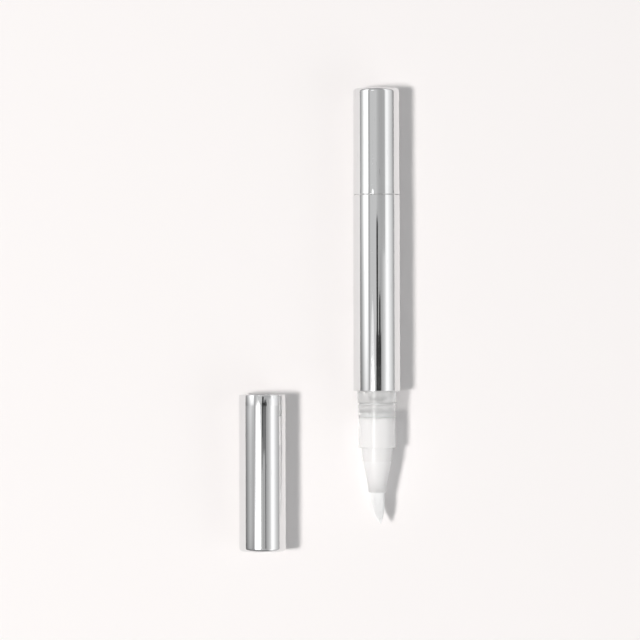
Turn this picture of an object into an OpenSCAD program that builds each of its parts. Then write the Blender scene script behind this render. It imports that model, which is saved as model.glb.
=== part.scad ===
// Twist-up oil pen with a brush tip, lying on its side beside its cap.
// X runs across, Y along the pen with the knob end at +Y, and Z up from the surface it lies on.
// Each piece is drawn upright about its own axis, with +Z pointing forward, out of the brush.
// Height zero there is the front edge of the barrel, or the mouth of the cap.

/* [Shells] */
// Outer diameter of the barrel, the knob and the cap
pen_d = 13.0; // [12.6:0.1:15]
// Wall of the drawn metal shells
shell_wall = 0.5; // [0.4:0.05:0.6]
// Rounding of the open shell edges
lip_round = 0.2; // [0.1:0.05:0.2]
// Corner radius of the closed shell ends
end_round = 1.0; // [0.7:0.1:2]
// Length of the barrel shell
barrel_len = 53.8; // [50:0.1:58]
// Length of the knob shell
knob_len = 29.1; // [26:0.1:34]
// Gap between the barrel shell and the knob shell
seam_gap = 0.2; // [0.1:0.05:0.4]
// Length of the cap shell
cap_len = 43.0; // [41:0.1:50]

/* [Neck] */
// Diameter of the clear neck that the cap slides over
neck_d = 10.7; // [10.5:0.05:10.8]
// Length of the neck ahead of the barrel edge
neck_len = 3.3; // [2.5:0.1:4.5]
// Diameter at the bottom of the snap groove
groove_d = 10.1; // [9.8:0.05:10.3]
// Width of the snap groove
groove_w = 0.6; // [0.5:0.05:1]
// Diameter of the bead ahead of the groove
bead_d = 10.4; // [10.25:0.05:10.45]
// Width of the bead
bead_w = 0.9; // [0.6:0.1:1.4]
// Diameter of the clear collar that holds the nozzle
collar_d = 10.2; // [10:0.05:10.25]
// Length of the clear collar
collar_len = 2.5; // [2:0.1:4]

/* [Nozzle] */
// Diameter of the straight part of the nozzle
nozzle_d = 10.1; // [9.8:0.05:10.15]
// Length of the straight part
nozzle_len = 8.3; // [7:0.1:10]
// Diameter just ahead of the square step
step_d = 8.6; // [8.2:0.05:9.2]
// Diameter at the front of the short taper
taper_d = 7.8; // [7.4:0.05:8.2]
// Length of the short taper
taper_len = 3.8; // [3:0.1:5]
// Diameter at the back of the long cone
cone_d = 7.7; // [7.3:0.05:7.8]
// Length of the long cone
cone_len = 8.6; // [7:0.1:10]
// Diameter of the nozzle's mouth
mouth_d = 4.6; // [4.5:0.05:5.2]
// Diameter of the spigot that sits in the collar
spigot_d = 9.2; // [8.6:0.05:9.4]
// Length of that spigot
spigot_len = 1.5; // [1:0.1:2]
// Diameter of the hollow behind the brush
hollow_d = 6.4; // [6:0.05:6.8]
// Diameter of the bore that holds the brush
bore_d = 3.9; // [3.8:0.05:4.1]

/* [Brush] */
// Diameter of the bundle at its root
brush_d = 3.7; // [3.5:0.05:3.75]
// Length of brush that shows ahead of the nozzle
brush_len = 9.3; // [7:0.1:12]
// How far the bent tip stands out sideways from the axis
tip_out = 0.5; // [0:0.1:1]
// Thickness of the fused slice that carries the strands
slice_t = 0.6; // [0.4:0.1:1]
// How far the fused slice lies behind the nozzle's mouth
slice_sink = 1.2; // [0.8:0.1:2]
// Diameter of the fused flange at the back of the brush
flange_d = 6.2; // [5.6:0.05:6.2]
// Thickness of that flange
flange_t = 2.0; // [1.4:0.1:2.6]
// Outer diameter of the feed tube
feed_d = 1.5; // [1.3:0.05:1.6]
// Bore of the feed tube
feed_bore_d = 0.8; // [0.5:0.05:1]
// How far the feed tube stands out of the fused slice
feed_out = 0.5; // [0.2:0.1:0.6]
// Length of the retainer that backs the brush
retainer_len = 7.4; // [5:0.1:8.2]
// Skirt wall of the retainer
retainer_wall = 0.75; // [0.5:0.05:1]
// Thickness of the retainer's web
retainer_web = 1.2; // [0.8:0.1:2]
// Width of the slots in the retainer's skirt
retainer_slot = 0.8; // [0.4:0.1:1.2]

/* [Oil chamber] */
// Wall of the reservoir around the oil
chamber_wall = 1.25; // [1:0.05:1.35]
// How far the reservoir's shoulder sits inside the barrel edge
edge_sink = 0.35; // [0.2:0.05:0.6]
// Distance from the barrel edge back to the full bore
shoulder_back = 4.7; // [4:0.1:6]
// Distance from the barrel edge back to the well's mouth
well_back = 1.0; // [0.6:0.1:2]
// Diameter of the round-ended well in the neck
well_d = 5.3; // [4.6:0.1:5.6]
// Reach of the well ahead of the barrel edge
well_out = 3.0; // [2.8:0.1:3.6]

/* [Piston and screw] */
// Length of the piston
piston_len = 6.8; // [6.2:0.1:8]
// Length of the piston's conical nose
piston_nose = 1.8; // [1.2:0.1:2.4]
// Diameter of the flat on the nose
nose_d = 4.4; // [3.6:0.1:5]
// Depth of the waist between the two sealing lips
lip_depth = 0.45; // [0.3:0.05:0.6]
// Width of each sealing lip
lip_w = 0.6; // [0.4:0.05:0.8]
// Diameter of the drive screw
screw_d = 4.4; // [4.2:0.05:4.5]
// Distance across the screw's two flats
screw_flat = 3.2; // [3:0.05:3.6]
// Travel of the screw for one turn of the knob
lead = 1.5; // [1.3:0.05:1.6]
// Turns of thread inside the nut
thread_turns = 3.5; // [3:0.25:4]
// Diameter of the screw's snap head
head_d = 3.4; // [3.2:0.05:3.6]
// Length of the snap head
head_len = 2.0; // [1.6:0.1:2.2]
// Diameter of the screw's neck behind the head
stem_d = 2.4; // [2:0.05:2.6]
// Length of the screw's neck
stem_len = 1.1; // [1:0.05:1.3]

/* [Ratchet] */
// Number of ratchet teeth, one click each
tooth_count = 12; // [9:3:18]
// Depth of the ratchet teeth
tooth_depth = 0.55; // [0.4:0.05:0.7]
// Length of the toothed cup
tooth_len = 3.4; // [3:0.1:4]
// Wall of the cup behind the teeth
cup_wall = 1.05; // [0.8:0.05:1.1]
// How far the cup's rear lip reaches in past the tooth crests
lip_reach = 0.35; // [0.25:0.05:0.45]
// Thickness of the cup's rear lip
lip_t = 0.6; // [0.4:0.05:0.8]
// Length of the plug that seats in the reservoir
plug_len = 1.25; // [0.8:0.05:1.6]
// Number of pawl arms
pawl_count = 3; // [2:1:3]
// Thickness of the pawl arms
pawl_t = 0.45; // [0.35:0.05:0.5]
// Angle that a pawl arm spans
pawl_span = 78; // [60:1:85]
// Hub wall around the screw
hub_wall = 0.75; // [0.6:0.05:0.8]
// Thickness of the thrust collar behind the pawls
collar_t = 0.7; // [0.5:0.05:1]
// Length of the key that turns the screw
key_len = 4.7; // [3.8:0.1:5.2]
// Length of the six-sided tail
tail_len = 7.9; // [6:0.1:9]
// Radius of the six-sided tail at its corners
tail_r = 3.6; // [3.3:0.05:3.7]

/* [Knob core] */
// Length of the journal that turns inside the barrel
journal_len = 3.5; // [3:0.1:4.5]
// Length of the plain ring behind the seam
ring_len = 2.0; // [1.5:0.1:3]
// Wall of the core around the screw's space
core_wall = 1.25; // [1:0.05:1.4]
// Height of the ribs that grip the knob shell
rib_h = 0.4; // [0.2:0.05:0.5]
// Width of those ribs
rib_w = 1.0; // [0.6:0.1:1.4]
// Number of ribs
rib_count = 12; // [6:1:16]
// Space between the core's open end and the closed end of the knob
core_end_gap = 4.8; // [3:0.1:8]
// Thickness of the web behind the tail
web_t = 1.0; // [0.8:0.1:1.6]
// Space left behind the screw when the pen is full
tail_gap = 1.6; // [1:0.1:3]

/* [Cap liner] */
// Radial play of the cap on the neck
cap_play = 0.07; // [0.05:0.01:0.12]
// Depth of the wide mouth of the liner
mouth_depth = 5.0; // [4.9:0.1:6]
// How far the snap ridge stands in from the mouth bore
ridge_h = 0.17; // [0.1:0.01:0.25]
// Bore of the liner just past the sealing step
seal_d = 8.9; // [8.7:0.05:9.3]
// Bore of the liner at its closed end
liner_end_d = 6.4; // [6:0.1:7]
// Wall of the liner's narrow part
liner_wall = 1.0; // [0.7:0.05:1.2]
// Space between the liner and the closed end of the shell
liner_end_gap = 0.5; // [0.3:0.1:1]
// Number of fins that centre the liner in the shell
fin_count = 6; // [3:1:8]
// Thickness of the fins
fin_t = 0.8; // [0.5:0.1:1.2]

/* [Fits] */
// Radial clearance of pieces that turn or slide in each other
run_fit = 0.05; // [0.03:0.01:0.08]
// Radial clearance of pieces that are pushed together
push_fit = 0.05; // [0.03:0.01:0.08]
// End clearance of pieces that turn or slide
end_fit = 0.3; // [0.2:0.05:0.5]
// Gap between the piston and the nut when the pen is full
rest_gap = 0.75; // [0.5:0.05:1.2]

/* [Layout] */
// Distance between the pen's axis and the cap's axis
axis_gap = 31.5; // [16:0.5:60]
// How far the cap's mouth lies ahead of the barrel edge
cap_ahead = 1.0; // [0:0.1:3]

/* [Hidden] */
$fn = 96;

// Overrun of every cut past the face that it opens
cut = 0.5;
// Flat steps in each rounded stretch of an outline
arc_steps = 6;

// Radii of the shells and of what lines them
pen_r = pen_d / 2;
shell_in_r = pen_r - shell_wall;
sleeve_r = shell_in_r - push_fit;

// Places along the barrel, forward of its front edge
neck_end = neck_len;
groove_end = neck_end + groove_w;
bead_end = groove_end + bead_w;
collar_end = bead_end + collar_len;
straight_end = collar_end + nozzle_len;
taper_end = straight_end + taper_len;
mouth_z = taper_end + cone_len;
tip_z = mouth_z + brush_len;

// How much of the short taper the hollow behind the brush reaches under
hollow_share = 0.37;

// Places of the brush and of what carries it
socket_floor = collar_end - spigot_len;
slice_front = mouth_z - slice_sink;
slice_back = slice_front - slice_t;
hollow_end = straight_end + taper_len * hollow_share;
flange_front = hollow_end;
flange_back = flange_front - flange_t;
retainer_front = flange_back - push_fit;
retainer_back = retainer_front - retainer_len;

// Places of the drive, behind the barrel's front edge
journal_front = -barrel_len + journal_len;
nut_back = journal_front + end_fit;
lip_front = nut_back + lip_t;
cup_floor = lip_front + tooth_len;
nut_front = cup_floor + lead * thread_turns;
reservoir_back = nut_front - plug_len;
piston_back = nut_front + rest_gap;
piston_front = piston_back + piston_len;
front_lip = piston_front - piston_nose;
pawl_front = cup_floor - end_fit;
collar_back = lip_front + end_fit;
key_back = pawl_front - key_len;
tail_back = collar_back - tail_len;
knob_front = -barrel_len - seam_gap;
knob_end = knob_front - knob_len;
knob_floor = knob_end + shell_wall;

// Stroke of the piston, which both the oil chamber and the knob's depth limit
bore_room = -shoulder_back - end_fit - front_lip;
knob_room = key_back - knob_floor - tail_gap;
stroke = min(bore_room, knob_room);

// Radii of the drive
chamber_r = sleeve_r - chamber_wall;
piston_r = chamber_r - run_fit;
waist_r = piston_r - lip_depth;
screw_r = screw_d / 2;
tooth_root_r = sleeve_r - cup_wall;
tooth_crest_r = tooth_root_r - tooth_depth;
lip_in_r = tooth_crest_r - lip_reach;
hub_r = screw_r + hub_wall;
pawl_r = tooth_crest_r - run_fit;
feed_hole_r = feed_d / 2 + push_fit;

function polar(r, a) = [r * cos(a), r * sin(a)];
function arc(centre, r, from, to) =
    [for (k = [0:arc_steps]) centre + polar(r, from + (to - from) * k / arc_steps)];

// Placing

module lay(x, y) {
    translate([x, y, pen_r]) rotate([90, 0, 0]) children();
}

// Middle of the pair along Y lies halfway between the knob's end and the cap's closed end.
front_y = (knob_end + cap_ahead + cap_len) / 2;

module pen_place() {
    lay(axis_gap / 2, front_y) children();
}

module cap_place() {
    lay(-axis_gap / 2, front_y - cap_ahead) children();
}

// Shells

function open_edge(z) = concat(
    arc([shell_in_r + lip_round, z + lip_round], lip_round, 180, 270),
    arc([pen_r - lip_round, z + lip_round], lip_round, 270, 360));

// Tube with one rounded closed end, its open edge at height zero
module closed_shell(length) {
    inner_round = end_round - shell_wall;
    rotate_extrude()
        polygon(concat(
            open_edge(0),
            arc([pen_r - end_round, length - end_round], end_round, 0, 90),
            [[0, length], [0, length - shell_wall]],
            arc([shell_in_r - inner_round, length - shell_wall - inner_round], inner_round, 90, 0)));
}

module outer_tube() {
    color("silver")
    pen_place()
    rotate_extrude()
        polygon(concat(
            open_edge(-barrel_len),
            arc([pen_r - lip_round, -lip_round], lip_round, 0, 90),
            arc([shell_in_r + lip_round, -lip_round], lip_round, 90, 180)));
}

module knob_shell() {
    color("silver")
    pen_place()
    translate([0, 0, knob_front])
    rotate([180, 0, 0])
        closed_shell(knob_len);
}

module cap_shell() {
    color("silver")
    cap_place()
        closed_shell(cap_len);
}

// Clear reservoir with its neck, snap bead and collar

module reservoir() {
    neck_r = neck_d / 2;
    bead_round = bead_w / 4;
    well_r = well_d / 2;
    well_centre = well_out - well_r;
    socket_r = spigot_d / 2 + push_fit;
    color("whitesmoke", 0.4)
    pen_place()
    rotate_extrude()
        polygon(concat(
            [
                [chamber_r, reservoir_back],
                [sleeve_r, reservoir_back],
                [sleeve_r, -edge_sink],
                [neck_r, -edge_sink],
                [neck_r, neck_end],
                [groove_d / 2, neck_end],
                [groove_d / 2, groove_end]
            ],
            arc([bead_d / 2 - bead_round, groove_end + bead_round], bead_round, -90, 0),
            arc([bead_d / 2 - bead_round, bead_end - bead_round], bead_round, 0, 45),
            [
                [collar_d / 2, bead_end],
                [collar_d / 2, collar_end],
                [socket_r, collar_end],
                [socket_r, socket_floor],
                [feed_hole_r, socket_floor]
            ],
            arc([0, well_centre], well_r, acos(feed_hole_r / well_r), 0),
            [
                [well_r, -well_back],
                [chamber_r, -shoulder_back]
            ]));
}

// Translucent nozzle that houses the brush

// Slight hollow of the long cone: one is straight
cone_bow = 1.15;
// Edge break on the nozzle's step and mouth
nozzle_edge = 0.25;

function cone_r(t) = mouth_d / 2 + (cone_d - mouth_d) / 2 * pow(1 - t, cone_bow);

module nozzle() {
    nozzle_r = nozzle_d / 2;
    mouth_r = mouth_d / 2;
    hollow_r = hollow_d / 2;
    bore_r = bore_d / 2;
    cone_front = cone_len - nozzle_edge;
    color("white", 0.7)
    pen_place()
    rotate_extrude()
        polygon(concat(
            [
                [hollow_r, socket_floor + push_fit],
                [spigot_d / 2, socket_floor + push_fit],
                [spigot_d / 2, collar_end],
                [nozzle_r, collar_end]
            ],
            arc([nozzle_r - nozzle_edge, straight_end - nozzle_edge], nozzle_edge, 0, 90),
            [
                [step_d / 2, straight_end],
                [taper_d / 2, taper_end]
            ],
            [for (k = [0:arc_steps]) [
                cone_r(k / arc_steps * cone_front / cone_len),
                taper_end + cone_front * k / arc_steps
            ]],
            [
                [mouth_r - nozzle_edge / 2, mouth_z],
                [bore_r, mouth_z],
                [bore_r, hollow_end + hollow_r - bore_r],
                [hollow_r, hollow_end]
            ]));
}

// Brush: a fused root, and strands that draw together to a leaning point

module brush_root() {
    color("white")
    pen_place()
    difference() {
        union() {
            translate([0, 0, flange_back]) cylinder(r = flange_d / 2, h = flange_t);
            translate([0, 0, flange_back]) cylinder(r = brush_d / 2, h = slice_back - flange_back);
        }
        translate([0, 0, flange_back - cut])
            cylinder(r = feed_hole_r, h = slice_back - flange_back + 2 * cut);
    }
}

// Cells across the square grid that is bent into the round bundle, and across its central hole
cells = 21;
hole_cells = 9;
cell_list = [
    for (i = [0:cells - 1])
        for (j = [0:cells - 1])
            if (max(abs(i - (cells - 1) / 2), abs(j - (cells - 1) / 2)) > hole_cells / 2) [i, j]
];
// Height shares along a strand where its bends lie
bend_shares = [0, 0.45, 0.8];
// Thickness shares of a strand at its root and bends
taper_shares = [1, 0.85, 0.55];
// Half thickness of a strand as a share of its cell
strand_share = 0.32;
// Sides of a strand, which the faces round its root are laid out for
strand_sides = 3;
// How far the bundle draws in towards its tip, and how late
draw_share = 0.9;
draw_bow = 1.8;
// How much shorter the outermost strands are, and how much any strand's length varies
outer_short_share = 0.27;
length_scatter_share = 0.06;
// Angles for one step across and along the grid, and the gain, that scatter the strands' lengths
scatter_angles = [12.9, 78.2];
scatter_gain = 437.5;

// A grid point on its round ring: squares about the middle become circles about the axis.
function ring_point(i, j) =
    let (
        a = i - cells / 2,
        b = j - cells / 2,
        m = max(abs(a), abs(b)),
        turn = abs(a) >= abs(b) ? 45 * b / a + (a > 0 ? 0 : 180) : 90 - 45 * a / b + (b > 0 ? 0 : 180),
        share = (m - hole_cells / 2) / (cells / 2 - hole_cells / 2),
        r = feed_hole_r + (brush_d / 2 - feed_hole_r) * max(share, 0)
    )
    m == 0 ? [0, 0] : polar(r, turn);

function cell_point(i, j, u, v) =
    (ring_point(i, j) * (1 - u) + ring_point(i + 1, j) * u) * (1 - v)
    + (ring_point(i, j + 1) * (1 - u) + ring_point(i + 1, j + 1) * u) * v;

function strand_corner(i, j, k) =
    let (p = polar(strand_share, 225 + 360 / strand_sides * k))
    cell_point(i, j, 0.5 + p[0], 0.5 + p[1]);

function scatter(i, j) =
    let (x = sin(scatter_angles * [i, j]) * scatter_gain)
    x - floor(x);

// Share of the full brush length at which a strand ends
function strand_end(i, j) =
    let (edge = norm(cell_point(i, j, 0.5, 0.5)) / (brush_d / 2))
    1 - outer_short_share * pow(edge, 2) - length_scatter_share * scatter(i, j);

// A root point carried up the bundle to a share of its length
function drawn(p, mid, thin, share) =
    let (
        full = tip_z - slice_front,
        q = mid * (1 - draw_share * pow(share, draw_bow)) + (p - mid) * thin
    )
    [q[0] + tip_out * pow(share, 2), q[1], slice_t + full * share];

function strand_points(i, j) =
    let (
        mid = cell_point(i, j, 0.5, 0.5),
        end = strand_end(i, j)
    )
    concat(
        [
            for (n = [0:len(bend_shares) - 1])
                for (k = [0:strand_sides - 1])
                    drawn(strand_corner(i, j, k), mid, taper_shares[n], end * bend_shares[n])
        ],
        [drawn(mid, mid, 1, end)]);

grid = cells + 1;
function grid_index(i, j, back) = (back ? grid * grid : 0) + i * grid + j;

// Faces of one strand and of the cell that it grows from, its first point numbered at
function strand_faces(i, j, at) =
    let (
        q = [
            grid_index(i, j, false), grid_index(i + 1, j, false),
            grid_index(i + 1, j + 1, false), grid_index(i, j + 1, false)
        ],
        b = [
            grid_index(i, j, true), grid_index(i + 1, j, true),
            grid_index(i + 1, j + 1, true), grid_index(i, j + 1, true)
        ],
        levels = len(bend_shares)
    )
    concat(
        [
            [q[0], q[1], at], [q[1], at + 1, at], [q[1], q[2], at + 1], [q[2], at + 2, at + 1],
            [q[2], q[3], at + 2], [q[3], at, at + 2], [q[3], q[0], at],
            [b[0], b[2], b[1]], [b[0], b[3], b[2]]
        ],
        [
            for (n = [0:levels - 2])
                for (k = [0:strand_sides - 1])
                    let (
                        low = at + strand_sides * n,
                        high = low + strand_sides,
                        next = (k + 1) % strand_sides
                    )
                    each [
                        [low + k, low + next, high + next],
                        [low + k, high + next, high + k]
                    ]
        ],
        [
            for (k = [0:strand_sides - 1])
                let (low = at + strand_sides * (levels - 1))
                [low + k, low + (k + 1) % strand_sides, at + strand_sides * levels]
        ]);

// Wall of the slice below the edge from grid point p to q
function slice_wall(p, q) =
    let (
        a = grid_index(p[0], p[1], false),
        b = grid_index(q[0], q[1], false),
        low_a = grid_index(p[0], p[1], true),
        low_b = grid_index(q[0], q[1], true)
    )
    [[low_a, low_b, b], [low_a, b, a]];

// Edges of the grid square from corner lo to corner hi, in order
function square_edges(lo, hi) = [
    for (n = [lo:hi - 1])
        each [
            [[n, lo], [n + 1, lo]],
            [[hi, n], [hi, n + 1]],
            [[n + 1, hi], [n, hi]],
            [[lo, n + 1], [lo, n]]
        ]
];

module bristles() {
    hole_lo = (cells - hole_cells) / 2;
    points_each = strand_sides * len(bend_shares) + 1;
    first = 2 * grid * grid;
    points = concat(
        [for (i = [0:cells]) for (j = [0:cells]) concat(ring_point(i, j), [slice_t])],
        [for (i = [0:cells]) for (j = [0:cells]) concat(ring_point(i, j), [0])],
        [for (c = cell_list) each strand_points(c[0], c[1])]);
    faces = concat(
        [
            for (n = [0:len(cell_list) - 1])
                each strand_faces(cell_list[n][0], cell_list[n][1], first + points_each * n)
        ],
        [for (e = square_edges(0, cells)) each slice_wall(e[0], e[1])],
        [for (e = square_edges(hole_lo, cells - hole_lo)) each slice_wall(e[1], e[0])]);
    color("white")
    pen_place()
    translate([0, 0, slice_back])
        polyhedron(points = points, faces = [for (f = faces) [f[2], f[1], f[0]]]);
}

// Thin tube that carries oil from the well into the brush
module feed_tube() {
    start = well_out + push_fit;
    length = slice_front + feed_out - start;
    color("white")
    pen_place()
    translate([0, 0, start])
    difference() {
        cylinder(r = feed_d / 2, h = length);
        translate([0, 0, -cut]) cylinder(r = feed_bore_d / 2, h = length + 2 * cut);
    }
}

// Slotted plug behind the brush flange
module brush_retainer() {
    outer_r = hollow_d / 2 - push_fit;
    skirt_len = retainer_len - retainer_web;
    color("whitesmoke")
    pen_place()
    translate([0, 0, retainer_back])
    difference() {
        cylinder(r = outer_r, h = retainer_len);
        translate([0, 0, -cut]) cylinder(r = outer_r - retainer_wall, h = skirt_len + cut);
        translate([0, 0, -cut]) cylinder(r = feed_hole_r, h = retainer_len + 2 * cut);
        for (a = [0, 90])
            rotate([0, 0, a])
            translate([-outer_r - cut, -retainer_slot / 2, -cut])
                cube([2 * (outer_r + cut), retainer_slot, skirt_len / 2 + cut]);
    }
}

// Fixed nut: plug, threaded bore and the toothed cup of the ratchet

// Flat steps on the ramp of a tooth
ramp_steps = 3;

// Outline of the cup: each tooth ramps inward the way the knob turns, then drops back.
function tooth_points() =
    let (pitch = 360 / tooth_count)
    [
        for (n = [0:tooth_count - 1])
            for (k = [0:ramp_steps])
                polar(tooth_root_r - tooth_depth * k / ramp_steps, (n + k / ramp_steps) * pitch)
    ];

module screw_nut() {
    color("gainsboro")
    pen_place()
    difference() {
        union() {
            translate([0, 0, nut_back])
                cylinder(r = sleeve_r, h = reservoir_back - push_fit - nut_back);
            translate([0, 0, nut_back])
                cylinder(r = chamber_r - push_fit, h = nut_front - nut_back);
        }
        translate([0, 0, nut_back]) cylinder(r = screw_r + run_fit, h = nut_front - nut_back + cut);
        translate([0, 0, lip_front]) linear_extrude(height = tooth_len) polygon(tooth_points());
        translate([0, 0, nut_back - cut]) cylinder(r = lip_in_r, h = lip_t + 2 * cut);
    }
}

// Piston with two sealing lips, which the screw's head snaps into
module piston() {
    web_front = piston_front - piston_nose - end_fit - head_len - 2 * run_fit;
    web_back = web_front - stem_len + end_fit;
    head_room = head_d / 2 + run_fit;
    color("gainsboro")
    pen_place()
    difference() {
        rotate_extrude()
            polygon([
                [0, piston_back],
                [waist_r, piston_back],
                [piston_r, piston_back + lip_depth / 2],
                [piston_r, piston_back + lip_w],
                [waist_r, piston_back + lip_w + lip_depth],
                [waist_r, front_lip - lip_w - lip_depth],
                [piston_r, front_lip - lip_w],
                [piston_r, front_lip],
                [nose_d / 2, piston_front],
                [0, piston_front]
            ]);
        translate([0, 0, web_front]) cylinder(r = head_room, h = head_len + 2 * run_fit);
        translate([0, 0, piston_back])
            cylinder(r = stem_d / 2 + run_fit, h = web_front - piston_back + run_fit);
        translate([0, 0, piston_back - cut])
            cylinder(r = screw_r + end_fit / 2, h = web_back - piston_back + cut);
    }
}

// Screw with two flats and a snap head
module drive_screw() {
    head_front = piston_front - piston_nose - end_fit - run_fit;
    head_back = head_front - head_len;
    rod_front = head_back - stem_len;
    rod_back = key_back - stroke;
    point_r = stem_d / 2;
    color("gainsboro")
    pen_place()
    union() {
        intersection() {
            translate([0, 0, rod_back]) cylinder(r = screw_r, h = rod_front - rod_back);
            translate([-screw_r, -screw_flat / 2, rod_back])
                cube([2 * screw_r, screw_flat, rod_front - rod_back]);
        }
        rotate_extrude()
            polygon([
                [0, rod_front - cut],
                [point_r, rod_front - cut],
                [point_r, head_back],
                [head_d / 2, head_back],
                [head_d / 2, head_back + head_len / 2],
                [point_r, head_front],
                [0, head_front]
            ]);
    }
}

// Driver: pawl arms in the toothed cup, a thrust collar, the key and a six-sided tail

// Flat steps along a pawl arm
pawl_steps = 8;

// One sprung arm, its nose trailing as the knob turns and drawn pressed in to the tooth crests
module pawl() {
    arm_r = (hub_r + pawl_r) / 2;
    out_r = arm_r + pawl_t / 2;
    in_r = arm_r - pawl_t / 2;
    root_r = hub_r - pawl_t;
    nose_a = 2 * atan(pawl_t / pawl_r);
    bend_a = pawl_span - 2 * nose_a;
    translate([0, 0, collar_back + collar_t / 2])
    linear_extrude(height = pawl_front - collar_back - collar_t / 2)
        polygon(concat(
            [polar(root_r, 2 * nose_a), polar(out_r, nose_a)],
            [for (k = [0:pawl_steps]) polar(out_r, -bend_a * k / pawl_steps)],
            [polar(pawl_r, nose_a / 2 - pawl_span), polar(pawl_r, -pawl_span)],
            [for (k = [pawl_steps:-1:0]) polar(in_r, -pawl_span * k / pawl_steps)],
            [polar(root_r, 0)]));
}

module driver() {
    color("gainsboro")
    pen_place()
    difference() {
        union() {
            translate([0, 0, collar_back]) cylinder(r = hub_r, h = pawl_front - collar_back);
            translate([0, 0, collar_back]) cylinder(r = pawl_r - run_fit, h = collar_t);
            translate([0, 0, tail_back]) cylinder(r = tail_r, h = tail_len, $fn = 6);
            for (n = [0:pawl_count - 1])
                rotate([0, 0, 360 / pawl_count * n]) pawl();
        }
        intersection() {
            translate([0, 0, tail_back - cut])
                cylinder(r = screw_r + run_fit, h = pawl_front - tail_back + 2 * cut);
            translate([-screw_d, -screw_flat / 2 - run_fit, tail_back - cut])
                cube([2 * screw_d, screw_flat + 2 * run_fit, pawl_front - tail_back + 2 * cut]);
        }
        translate([0, 0, tail_back - cut])
            cylinder(r = screw_r + end_fit, h = key_back - tail_back + cut);
    }
}

// Core of the knob: journal in the barrel, socket for the driver and ribs under the shell
module knob_core() {
    core_back = knob_floor + core_end_gap;
    core_in_r = sleeve_r - core_wall;
    base_r = sleeve_r - rib_h;
    ring_back = knob_front - ring_len;
    socket_back = tail_back - end_fit;
    web_back = socket_back - web_t;
    rib_in = core_in_r + rib_h;
    rib_out = sqrt(pow(sleeve_r - push_fit, 2) - pow(rib_w / 2, 2));
    color("gainsboro")
    pen_place()
    difference() {
        union() {
            translate([0, 0, ring_back]) cylinder(r = sleeve_r, h = journal_front - ring_back);
            translate([0, 0, core_back]) cylinder(r = base_r, h = ring_back - core_back + cut);
            for (n = [0:rib_count - 1])
                rotate([0, 0, 360 / rib_count * n])
                translate([rib_in, -rib_w / 2, core_back])
                    cube([rib_out - rib_in, rib_w, ring_back - core_back + cut]);
        }
        translate([0, 0, core_back - cut]) cylinder(r = core_in_r, h = web_back - core_back + cut);
        translate([0, 0, web_back - cut])
            cylinder(r = screw_r + end_fit, h = journal_front - web_back + 2 * cut);
        translate([0, 0, socket_back])
            cylinder(r = tail_r + push_fit, h = journal_front - socket_back + cut, $fn = 6);
    }
}

// Liner of the cap: snap ridge, guide bore, sealing step and a narrow end held by fins
module cap_liner() {
    mouth_r = neck_d / 2 + cap_play;
    guide_r = max(nozzle_d, collar_d) / 2 + run_fit;
    ridge_z = (neck_end + groove_end) / 2;
    ridge_r = mouth_r - ridge_h;
    seal_r = seal_d / 2;
    end_r = liner_end_d / 2;
    step_z = straight_end + end_fit / 2;
    neck_z = step_z + 2 * liner_wall;
    end_z = cap_len - shell_wall - liner_end_gap;
    floor_z = end_z - liner_wall;
    skin_front = seal_r + liner_wall;
    skin_end = end_r + liner_wall;
    color("whitesmoke")
    cap_place() {
        rotate_extrude()
            polygon([
                [0, floor_z],
                [end_r, floor_z],
                [seal_r, step_z],
                [guide_r, step_z],
                [guide_r, mouth_depth],
                [mouth_r, mouth_depth],
                [mouth_r, ridge_z + groove_w / 2],
                [ridge_r, ridge_z + groove_w / 4],
                [ridge_r, ridge_z - groove_w / 4],
                [mouth_r, ridge_z - groove_w / 2],
                [mouth_r, edge_sink],
                [sleeve_r, edge_sink],
                [sleeve_r, neck_z],
                [skin_front, neck_z],
                [skin_end, end_z],
                [0, end_z]
            ]);
        for (n = [0:fin_count - 1])
            rotate([90, 0, 360 / fin_count * n])
            linear_extrude(height = fin_t, center = true)
                polygon([
                    [skin_front - liner_wall / 2, neck_z - liner_wall / 2],
                    [sleeve_r - push_fit, neck_z - liner_wall / 2],
                    [sleeve_r - push_fit, end_z],
                    [skin_end - liner_wall / 2, end_z]
                ]);
    }
}

outer_tube();
reservoir();
nozzle();
brush_root();
bristles();
feed_tube();
brush_retainer();
screw_nut();
piston();
drive_screw();
driver();
knob_core();
knob_shell();
cap_shell();
cap_liner();
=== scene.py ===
import math
import random

import bmesh
import bpy
from mathutils import Matrix, Vector


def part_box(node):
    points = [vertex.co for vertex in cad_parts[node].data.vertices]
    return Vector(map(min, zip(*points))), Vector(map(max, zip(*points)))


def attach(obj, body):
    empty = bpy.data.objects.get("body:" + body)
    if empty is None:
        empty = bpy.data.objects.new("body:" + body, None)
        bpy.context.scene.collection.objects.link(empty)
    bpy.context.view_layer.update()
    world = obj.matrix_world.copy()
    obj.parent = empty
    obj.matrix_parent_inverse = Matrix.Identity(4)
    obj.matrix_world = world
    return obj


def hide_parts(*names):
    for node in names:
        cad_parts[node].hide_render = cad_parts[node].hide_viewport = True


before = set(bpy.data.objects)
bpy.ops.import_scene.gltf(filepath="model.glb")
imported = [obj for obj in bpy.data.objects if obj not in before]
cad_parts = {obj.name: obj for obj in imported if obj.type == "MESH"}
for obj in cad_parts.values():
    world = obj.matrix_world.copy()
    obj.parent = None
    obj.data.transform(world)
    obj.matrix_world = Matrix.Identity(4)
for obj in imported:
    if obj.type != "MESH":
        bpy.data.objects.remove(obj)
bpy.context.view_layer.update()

# Lengths are written in millimetres and turned into metres once, here
MM = 0.001

# Faces round a turned piece, round the screw's core and round a small piece, and steps in a rounded corner
TURN_STEPS = 128
CORE_STEPS = 64
SMALL_STEPS = 48
ROUND_STEPS = 6
# Corners sharper than this many degrees keep a crisp edge
CRISP_ANGLE = 32
# Points nearer to each other than this are one point
MERGE = 0.0001

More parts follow.
